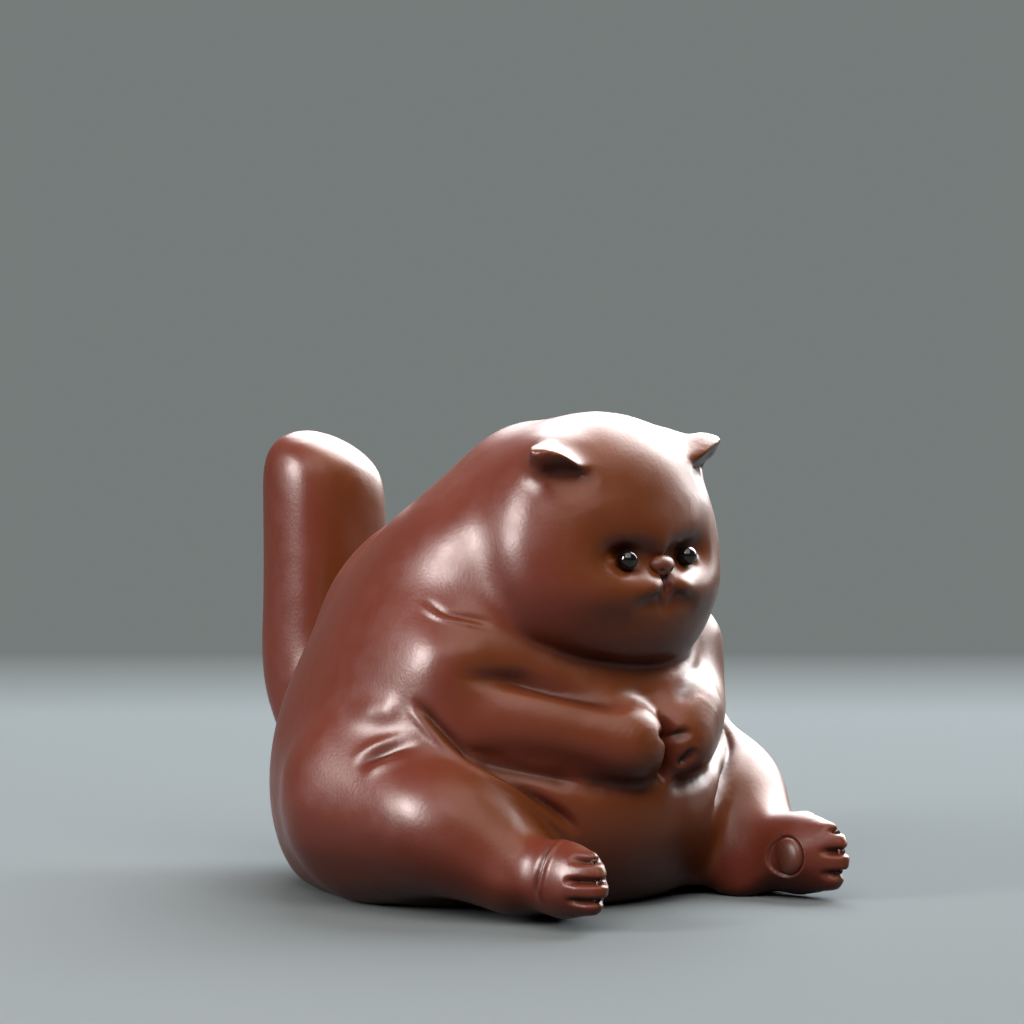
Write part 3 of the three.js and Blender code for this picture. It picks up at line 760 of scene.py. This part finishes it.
# Where the skin gets finer before it is worked: face, ears, paws and feet, again closer in, and folds
FINE_SPOTS = (
    ((-5, -30, 43), (13, 8, 11)), ((-13, -25, 58), (7, 7, 6)), ((-4, -32, 22), (9, 8, 8)),
    ((-21.5, -38, 5), (10, 11, 12)))
FINER_SPOTS = (
    ((-4, -31, 43.5), (7, 5, 7)), ((-13, -26, 58), (6, 5, 4)), ((-4, -33, 22), (6, 5, 6)),
    ((-21.5, -40, 5), (8, 6, 9)))
FINE_FOLDS = (NECK_FOLD, JAW_CREASE, FOREARM_TOP, FOREARM_UNDER, PAW_UNDER, THIGH_CREASE, HIP_FOLD)
FOLD_REACH = 2.4


def sculpt(clay):
    """Works the folds, the ears, the face, the feet and the paws into the skin."""
    ease_the_back(clay)
    spots = [spot(clay, *place) for place in FINE_SPOTS]
    folds = [strip(clay, path, FOLD_REACH) for path in FINE_FOLDS]
    clay.refine(any_of(*spots, *folds))
    fold_the_skin(clay)
    shape_the_ears(clay)
    clay.refine(any_of(*[spot(clay, *place) for place in FINER_SPOTS]))
    model_the_face(clay)
    slot_the_toes(clay)
    notch_the_paws(clay)
    recess_the_soles(clay)


# Painted shade in the hollows and under the rolls before the rump, and painted warm light on the side that
# faces front and up: a share, and where each starts and over what it comes up to full
FORM_PASSES = 80
HOLLOW_PAINTED_SHADE, HOLLOW_START, HOLLOW_RUN = 0.35, 0.1, 1.2
UNDER_PAINTED_SHADE, UNDER_START, UNDER_RUN = 0.7, 0.1, 0.7
RUMP_END, RUMP_RUN = 22, 8
WARM_LIGHT_SIDE = (0.42, -0.86, 0.28)
WARM_LIGHT_SHARE, WARM_LIGHT_START, WARM_LIGHT_RUN = 0.8, 0.1, 0.8


def light_and_shade_paint(clay):
    """Paints shade into the hollows and under the rolls, and paints warm light onto the side that faces front
    and up.
    """
    hollow = eased((clay.hollow(FORM_PASSES) - HOLLOW_START) / HOLLOW_RUN)
    before_rump = eased((RUMP_END - clay.places[:, 1]) / RUMP_RUN)
    under = eased((UNDER_START - clay.normals[:, 2]) / UNDER_RUN) * before_rump
    # Painted shade in the hollows and under the rolls
    clay.painted_shade = np.maximum(clay.painted_shade, np.maximum(HOLLOW_PAINTED_SHADE * hollow, UNDER_PAINTED_SHADE * under))
    clay.write()
    # Painted warm light on the side that faces front and up, kept in tea
    tea = WARM_LIGHT_SHARE * eased((clay.normals @ WARM_LIGHT_SIDE - WARM_LIGHT_START) / WARM_LIGHT_RUN)
    clay.mesh.attributes["tea"].data.foreach_set("value", tea.astype(np.float32))


def settled(clay):
    """Presses the figure's base flat on the tray."""
    clay.places[:, 2] = np.maximum(clay.places[:, 2], 0)
    clay.write()


def owners(clay):
    """For each face of the skin, the place in CLAY_PIECES of the solid whose surface is nearest."""
    corners = []
    triangles = []
    nodes = []
    for index, node in enumerate(CLAY_PIECES):
        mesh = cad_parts[node].data
        first = len(corners)
        corners.extend(v.co for v in mesh.vertices)
        for polygon in mesh.polygons:
            triangles.append([first + v for v in polygon.vertices])
            nodes.append(index)
    tree = BVHTree.FromPolygons(corners, triangles)
    return np.array([nodes[tree.find_nearest(Vector(centre))[2]] for centre in clay.face_centres()])


BASE_TOUCH = 0.3 * MM


def base_faces(clay):
    """True for the faces under the figure that the base disc closes."""
    centres = clay.face_centres()
    middle_of_disc = np.array((DISC_LOW + DISC_HIGH) / 2)
    reach = np.linalg.norm(centres[:, :2] - middle_of_disc[:2], axis=1)
    return (reach < (DISC_HIGH.x - DISC_LOW.x) / 2) & (centres[:, 2] < BASE_TOUCH)


def patch(name, clay, own):
    """The part of the skin that belongs to one piece, shaded as the whole skin is."""
    bm = bmesh.new()
    bm.from_mesh(clay.mesh)
    bm.faces.ensure_lookup_table()
    strangers = [bm.faces[i] for i in np.flatnonzero(~own)]
    bmesh.ops.delete(bm, geom=strangers, context="FACES")
    for edge in bm.edges:
        edge.smooth = not edge.is_boundary
    mesh = bpy.data.meshes.new(name)
    bm.to_mesh(mesh)
    bm.free()
    mesh.normals_split_custom_set_from_vertices(clay.normals[clay.corners_of(own)])
    return mesh


def split_skin(clay, material, wall):
    """Parts the skin into one closed piece for each clay node, along the nodes' own borders."""
    owner = owners(clay)
    underside = base_faces(clay)
    clay.mesh.shade_smooth()
    for index, (node, name) in enumerate(CLAY_PIECES.items()):
        piece = finished(name, patch(name, clay, (owner == index) & ~underside), material, node)
        thickness = piece.modifiers.new("wall", "SOLIDIFY")
        thickness.thickness = wall
        thickness.offset = -1


# Eyes, nose, sole pads and base disc


EYE_PLACE = np.array((5.35, -29.9, 45.5))

# The nose: its place, its half sizes, how it widens upwards and droops at the sides, and the nostrils
NOSE_PLACE = (0, -30.7, 44.5)
NOSE_HALF = (1.95, 1.3, 1.4)
NOSE_WIDENS = 0.2
NOSE_DROOP = 0.1
NOSTRIL = (0.95, -1.0, -0.65)
NOSTRIL_WIDTH = 0.36
NOSTRIL_DEPTH = 0.5

# Radii and heights of a sole pad about its middle, in millimetres, and the disc's vent and edges
PAD_PROFILE = ((0, 0.55), (1.1, 0.5), (1.9, 0.32), (2.35, 0.05), (2.5, -0.35), (2.4, -0.9), (0, -0.9))
VENT_RADIUS = 3.5 * MM
DISC_EDGE = 0.3 * MM


def meshed(name, bm, smooth=True):
    """A mesh from a bmesh, which is freed."""
    bmesh.ops.recalc_face_normals(bm, faces=bm.faces)
    mesh = bpy.data.meshes.new(name)
    bm.to_mesh(mesh)
    bm.free()
    if smooth:
        mesh.shade_smooth()
    return mesh


def turned(profile, steps):
    """A shape turned about the upright axis from its radii and heights."""
    bm = bmesh.new()
    verts = [bm.verts.new((radius, 0, height)) for radius, height in profile]
    for a, b in zip(verts, verts[1:]):
        bm.edges.new((a, b))
    bmesh.ops.spin(
        bm, geom=bm.verts[:] + bm.edges[:], axis=(0, 0, 1), cent=(0, 0, 0), angle=math.tau, steps=steps,
        use_merge=True)
    bmesh.ops.remove_doubles(bm, verts=bm.verts, dist=WELD)
    return bm


def eye_bead(side, diameter):
    """A glossy ball, set in its socket."""
    bm = bmesh.new()
    place = Matrix.Translation(placed(EYE_PLACE * (side, 1, 1)))
    bmesh.ops.create_uvsphere(bm, u_segments=40, v_segments=24, radius=diameter / 2, matrix=place)
    return meshed("eye", bm)


def nose_pellet():
    """A rounded three-cornered pellet with two nostrils pressed in."""
    bm = bmesh.new()
    bmesh.ops.create_uvsphere(bm, u_segments=48, v_segments=32, radius=1 * MM)
    wide, deep, high = NOSE_HALF
    for vertex in bm.verts:
        x, y, z = vertex.co / MM
        point = Vector((x * (wide * (1 + NOSE_WIDENS * z)), y * deep, z * high - NOSE_DROOP * x * x))
        for side in SIDES.values():
            nostril = Vector((side * NOSTRIL[0], *NOSTRIL[1:]))
            near = (point - nostril).length
            point -= vertex.normal * NOSTRIL_DEPTH * math.exp(-((near / NOSTRIL_WIDTH) ** 2))
        vertex.co = point * MM + placed(NOSE_PLACE)
    return meshed("nose", bm)


def sole_pad(side, node):
    """A domed pad that fills the round recess of a sole."""
    low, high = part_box(node)
    bm = turned([(radius * MM, height * MM) for radius, height in PAD_PROFILE], 48)
    turn = Matrix.Rotation(side * math.radians(-90), 4, "Y")
    bmesh.ops.transform(bm, matrix=Matrix.Translation((low + high) / 2) @ turn, verts=bm.verts)
    return meshed("pad", bm)


def base_disc(node):
    """The disc that closes the hollow, with its vent."""
    low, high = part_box(node)
    radius = (high.x - low.x) / 2
    height = high.z - low.z
    vent, edge = VENT_RADIUS, DISC_EDGE
    bm = turned((
        (vent, edge), (vent + edge, 0), (radius - edge, 0), (radius, edge), (radius, height - edge),
        (radius - edge, height), (vent + edge, height), (vent, height - edge), (vent, edge)), 72)
    centre = (low + high) / 2
    bmesh.ops.translate(bm, vec=(centre.x, centre.y, low.z), verts=bm.verts)
    return meshed("disc", bm, smooth=False)


# Materials


# Patterns: noise cells per metre, and the height of the grain
RED_CLOUDS = 60
DULL_CLOUDS = 350
PAD_CLOUDS = 200
BEAD_CLOUDS = 700
CLAY_GRAIN = (2200, 0.02 * MM)
PAD_GRAIN = (2600, 0.015 * MM)

# How far the roughness goes down and up in patches, where the painted shade starts and where it is full, how
# dark it gets, and the gloss of the beads
SHINIER, DULLER = 0.04, 0.06
PAINTED_SHADE_START, PAINTED_SHADE_FULL, PAINTED_SHADE_SHARE = 0.05, 1.0, 0.85
BEAD_ROUGHNESS = 0.03


def shading(name):
    """A new material, with its node tree and its shader."""
    material = bpy.data.materials.new(name)
    material.use_nodes = True
    tree = material.node_tree
    return material, tree, tree.nodes["Principled BSDF"]


def noise(tree, scale, detail=3.0):
    """Cloudy noise through the clay, in Object coordinates."""
    place = tree.nodes.new("ShaderNodeTexCoord")
    cloud = tree.nodes.new("ShaderNodeTexNoise")
    cloud.inputs["Scale"].default_value = scale
    cloud.inputs["Detail"].default_value = detail
    tree.links.new(place.outputs["Object"], cloud.inputs["Vector"])
    return cloud.outputs["Fac"]


def ranged(tree, value, low, high, start=0.3, stop=0.7):
    """A value carried from one range to another."""
    step = tree.nodes.new("ShaderNodeMapRange")
    for name, number in (("From Min", start), ("From Max", stop), ("To Min", low), ("To Max", high)):
        step.inputs[name].default_value = number
    tree.links.new(value, step.inputs["Value"])
    return step.outputs["Result"]


def mixed(tree, share, first, second):
    """One colour run into another; each is a colour or a socket."""
    mix = tree.nodes.new("ShaderNodeMix")
    mix.data_type = "RGBA"
    tree.links.new(share, mix.inputs["Factor"])
    for socket, colour in ((mix.inputs[6], first), (mix.inputs[7], second)):
        if isinstance(colour, bpy.types.NodeSocket):
            tree.links.new(colour, socket)
        else:
            socket.default_value = (*colour, 1)
    return mix.outputs[2]


def attribute(tree, name):
    """A value kept on the skin's points."""
    node = tree.nodes.new("ShaderNodeAttribute")
    node.attribute_name = name
    return node.outputs["Fac"]


def grain(tree, shader, scale, height):
    """Fine grain that the burnisher leaves."""
    bump = tree.nodes.new("ShaderNodeBump")
    bump.inputs["Strength"].default_value = 1.0
    bump.inputs["Distance"].default_value = height
    tree.links.new(noise(tree, scale, 4.0), bump.inputs["Height"])
    tree.links.new(bump.outputs["Normal"], shader.inputs["Normal"])


def clay_material(finish):
    """Burnished clay: redder and duller in patches, with painted warm light on the side that faces front and
    up, and painted shade in the folds, the hollows and under the rolls.
    """
    material, tree, shader = shading("burnished_clay")
    body = mixed(tree, ranged(tree, noise(tree, RED_CLOUDS), 0, 1), finish.clay, finish.clay_red)
    # Painted warm light: the clay runs to the warm lit colour where tea is strong
    body = mixed(tree, attribute(tree, "tea"), body, finish.clay_warm_lit)
    # Painted shade: the clay runs to the painted shade colour where that attribute is strong
    depth = ranged(tree, attribute(tree, "painted_shade"), 0, PAINTED_SHADE_SHARE, PAINTED_SHADE_START, PAINTED_SHADE_FULL)
    tree.links.new(mixed(tree, depth, body, finish.clay_painted_shade), shader.inputs["Base Color"])
    rough = ranged(tree, noise(tree, DULL_CLOUDS), finish.roughness - SHINIER, finish.roughness + DULLER)
    tree.links.new(rough, shader.inputs["Roughness"])
    shader.inputs["Specular IOR Level"].default_value = finish.specular
    grain(tree, shader, *CLAY_GRAIN)
    return material


def dark_clay_material(finish):
    """The plainer clay of the nose, the pads and the disc."""
    material, tree, shader = shading("dark_clay")
    body = mixed(tree, ranged(tree, noise(tree, PAD_CLOUDS), 0, 1), finish.clay, finish.clay_pad)
    tree.links.new(body, shader.inputs["Base Color"])
    shader.inputs["Roughness"].default_value = finish.roughness + DULLER
    grain(tree, shader, *PAD_GRAIN)
    return material


def bead_material(finish):
    """Black glaze with a faint cloud in it."""
    material, tree, shader = shading("bead_glaze")
    glaze = mixed(tree, ranged(tree, noise(tree, BEAD_CLOUDS), 0, 1), finish.bead, finish.bead_cloud)
    tree.links.new(glaze, shader.inputs["Base Color"])
    shader.inputs["Roughness"].default_value = BEAD_ROUGHNESS
    return material


# Pieces


class TEAPET_OT_clay(bpy.types.Operator):
    """Model the clay figure: torso, head, limbs, ears and tail"""

    bl_idname = "teapet.clay"
    bl_label = "Clay Figure"

    def execute(self, context):
        settings = context.scene.tea_pet_clay
        clay = fused_clay(settings)
        burnish(clay, settings.burnish)
        sculpt(clay)
        settled(clay)
        light_and_shade_paint(clay)
        split_skin(clay, clay_material(context.scene.tea_pet_finish), settings.wall)
        return {"FINISHED"}


class TEAPET_OT_eyes(bpy.types.Operator):
    """Set the two bead eyes"""

    bl_idname = "teapet.eyes"
    bl_label = "Eyes"

    def execute(self, context):
        finish = context.scene.tea_pet_finish
        glaze = bead_material(finish)
        for name, side in SIDES.items():
            finished(f"eye_{name}", eye_bead(side, finish.eye), glaze, f"{name}_eye")
        return {"FINISHED"}


class TEAPET_OT_pads(bpy.types.Operator):
    """Set the nose, the sole pads and the base disc"""

    bl_idname = "teapet.pads"
    bl_label = "Nose, Pads and Base"

    def execute(self, context):
        dark = dark_clay_material(context.scene.tea_pet_finish)
        finished("nose_pellet", nose_pellet(), dark, "nose")
        for name, side in SIDES.items():
            node = f"{name}_sole_pad"
            finished(f"sole_pad_{name}", sole_pad(side, node), dark, node)
        finished("disc_under", base_disc("base_disc"), dark, "base_disc")
        return {"FINISHED"}


# Studio


PLAIN = (1.0, 1.0, 1.0)
WARM = (1.0, 0.9, 0.84)

# Lamps: azimuth and elevation in degrees, distance, width, height, watts, tint, and if it is a gloss card
LAMPS = {
    "skylight": (110, 48, 0.85, 0.9, 0.6, 16, PLAIN, False),
    "skylight_card": (112, 44, 0.86, 1.2, 0.8, 21, PLAIN, True),
    "far_card": (100, 26, 0.85, 0.7, 0.6, 13, PLAIN, True),
    "window": (-106, 22, 0.85, 0.2, 0.34, 5.4, WARM, False),
    "window_card": (-106, 22, 0.86, 0.38, 0.44, 15, PLAIN, True),
    "softbox": (-35, 55, 0.9, 0.9, 0.9, 8.5, WARM, False),
    "catch_light": (-66, 40, 0.8, 0.14, 0.14, 0.7, WARM, False),
}
LAMP_AIM = Vector((0, 0, 0.03))
ROOM_LIGHT = 0.16

# The floor's sweep up into the backdrop, and where the cloth on it ends, in metres
SWEEP_WIDTH = 4.4
SWEEP_FRONT = 1.2
SWEEP_BACK = 1.1
SWEEP_BEND = 0.3
SWEEP_RISE = 2.0
CLOTH_BACK = 0.285
CLOTH_FADE = 0.06
CLOTH_ROUGHNESS = 0.8

# The photograph's framing: its width, the pixels to a millimetre, and how far its middle is off the figure's
PHOTO_WIDTH = 1024
PHOTO_SCALE = 7.5
PHOTO_UP = 142.5
PHOTO_RIGHT = 13
SENSOR_WIDTH = 36


def outward(azimuth, elevation):
    """The direction from the figure to a place around it."""
    level = math.cos(elevation)
    return Vector((math.sin(azimuth) * level, -math.cos(azimuth) * level, math.sin(elevation)))


def lamp(context, name, azimuth, elevation, distance, width, height, power, tint, card):
    """A soft lamp, aimed at the figure; a card shows in the gloss alone."""
    way = outward(math.radians(azimuth), math.radians(elevation))
    light = bpy.data.lights.new(name, "AREA")
    light.color = tint
    light.shape = "RECTANGLE"
    light.size, light.size_y = width, height
    light.energy = power
    holder = bpy.data.objects.new(name, light)
    holder.location = LAMP_AIM + way * distance
    holder.rotation_euler = (-way).to_track_quat("-Z", "Y").to_euler()
    holder.visible_diffuse = not card
    context.scene.collection.objects.link(holder)


def seen(tree):
    """1 where a surface is seen, straight or in gloss or glass, and 0 where light bounces off it."""
    path = tree.nodes.new("ShaderNodeLightPath")
    total = path.outputs["Is Camera Ray"]
    for name in ("Is Glossy Ray", "Is Transmission Ray"):
        either = tree.nodes.new("ShaderNodeMath")
        either.operation = "MAXIMUM"
        tree.links.new(total, either.inputs[0])
        tree.links.new(path.outputs[name], either.inputs[1])
        total = either.outputs["Value"]
    return total


def room(studio):
    """A dim room, which is seen lighter than it shines."""
    world = bpy.data.worlds.new("room")
    world.use_nodes = True
    tree = world.node_tree
    shader = tree.nodes["Background"]
    shader.inputs["Color"].default_value = (*studio.room, 1)
    tree.links.new(ranged(tree, seen(tree), ROOM_LIGHT, 1, 0, 1), shader.inputs["Strength"])
    return world


def picked(geometry, kind):
    """The vertices or the edges among what an operator made."""
    return [item for item in geometry if isinstance(item, kind)]


def sweep_mesh():
    """A floor that bends up into a backdrop."""
    bm = bmesh.new()
    ends = [bm.verts.new((side * SWEEP_WIDTH / 2, -SWEEP_FRONT, 0)) for side in (-1, 1)]
    edge = bm.edges.new(ends)
    flat = bmesh.ops.extrude_edge_only(bm, edges=[edge])["geom"]
    verts = picked(flat, bmesh.types.BMVert)
    bmesh.ops.translate(bm, vec=(0, SWEEP_FRONT + SWEEP_BACK, 0), verts=verts)
    bend = bmesh.ops.spin(
        bm, geom=verts + picked(flat, bmesh.types.BMEdge), axis=(1, 0, 0),
        cent=(0, SWEEP_BACK, SWEEP_BEND), angle=math.radians(90), steps=24)
    last = picked(bend["geom_last"], bmesh.types.BMEdge)
    rise = bmesh.ops.extrude_edge_only(bm, edges=last)["geom"]
    bmesh.ops.translate(bm, vec=(0, 0, SWEEP_RISE), verts=picked(rise, bmesh.types.BMVert))
    return meshed("sweep", bm)


def floor_material(studio):
    """Cloth in front, and a plain wall behind it."""
    material, tree, shader = shading("floor")
    shown = seen(tree)
    place = tree.nodes.new("ShaderNodeTexCoord")
    split = tree.nodes.new("ShaderNodeSeparateXYZ")
    tree.links.new(place.outputs["Object"], split.inputs["Vector"])
    behind = ranged(tree, split.outputs["Y"], 0, 1, CLOTH_BACK - CLOTH_FADE, CLOTH_BACK + CLOTH_FADE)
    tree.links.new(mixed(tree, shown, studio.bounce, studio.floor), shader.inputs["Base Color"])
    shader.inputs["Roughness"].default_value = CLOTH_ROUGHNESS
    shader.inputs["Specular IOR Level"].default_value = 0
    wall = tree.nodes.new("ShaderNodeEmission")
    wall.inputs["Color"].default_value = (*studio.wall, 1)
    tree.links.new(shown, wall.inputs["Strength"])
    blend = tree.nodes.new("ShaderNodeMixShader")
    tree.links.new(behind, blend.inputs["Fac"])
    tree.links.new(shader.outputs["BSDF"], blend.inputs[1])
    tree.links.new(wall.outputs["Emission"], blend.inputs[2])
    tree.links.new(blend.outputs["Shader"], tree.nodes["Material Output"].inputs["Surface"])
    material.cycles.emission_sampling = "NONE"
    return material


def sweep(context, studio):
    """The floor and the backdrop, turned to face the camera."""
    mesh = sweep_mesh()
    floor = bpy.data.objects.new("floor", mesh)
    floor.rotation_euler.z = studio.azimuth
    context.scene.collection.objects.link(floor)
    mesh.materials.append(floor_material(studio))


def camera(context, studio):
    """Frames the figure as the photograph does."""
    back = outward(studio.azimuth, studio.elevation)
    right = Vector((math.cos(studio.azimuth), math.sin(studio.azimuth), 0))
    up = back.cross(right)
    target = placed((0, 0, studio.aim_height / MM))
    view = bpy.data.cameras.new("camera")
    view.sensor_width = SENSOR_WIDTH
    view.lens = PHOTO_SCALE * studio.distance / MM / PHOTO_WIDTH * SENSOR_WIDTH
    holder = bpy.data.objects.new("camera", view)
    holder.location = target + back * studio.distance
    aim = target + up * (PHOTO_UP / PHOTO_SCALE) * MM + right * (PHOTO_RIGHT / PHOTO_SCALE) * MM
    holder.rotation_euler = (aim - holder.location).to_track_quat("-Z", "Y").to_euler()
    context.scene.collection.objects.link(holder)
    context.scene.camera = holder


class TEAPET_OT_stage(bpy.types.Operator):
    """Set the floor, the lamps and the camera"""

    bl_idname = "teapet.stage"
    bl_label = "Studio"

    def execute(self, context):
        studio = context.scene.tea_pet_studio
        context.scene.view_settings.view_transform = "Standard"
        context.scene.world = room(studio)
        sweep(context, studio)
        for name, row in LAMPS.items():
            lamp(context, name, *row)
        camera(context, studio)
        return {"FINISHED"}


# Panel and registration


class TEAPET_PT_panel(bpy.types.Panel):
    """Lists the steps of the figure"""

    bl_idname = "TEAPET_PT_panel"
    bl_label = "Tea Pet"
    bl_space_type = "VIEW_3D"
    bl_region_type = "UI"
    bl_category = "Tea Pet"

    def draw(self, context):
        for operator in OPERATORS:
            self.layout.operator(operator.bl_idname)


OPERATORS = (TEAPET_OT_clay, TEAPET_OT_eyes, TEAPET_OT_pads, TEAPET_OT_stage)
GROUPS = {"tea_pet_clay": TeaPetClay, "tea_pet_finish": TeaPetFinish, "tea_pet_studio": TeaPetStudio}
CLASSES = (*GROUPS.values(), *OPERATORS, TEAPET_PT_panel)


def register():
    for cls in CLASSES:
        bpy.utils.register_class(cls)
    for name, group in GROUPS.items():
        setattr(bpy.types.Scene, name, bpy.props.PointerProperty(type=group))


def unregister():
    for name in GROUPS:
        delattr(bpy.types.Scene, name)
    for cls in reversed(CLASSES):
        bpy.utils.unregister_class(cls)


def main():
    register()
    for operator in (bpy.ops.teapet.clay, bpy.ops.teapet.eyes, bpy.ops.teapet.pads, bpy.ops.teapet.stage):
        operator()


if __name__ == "__main__":
    main()
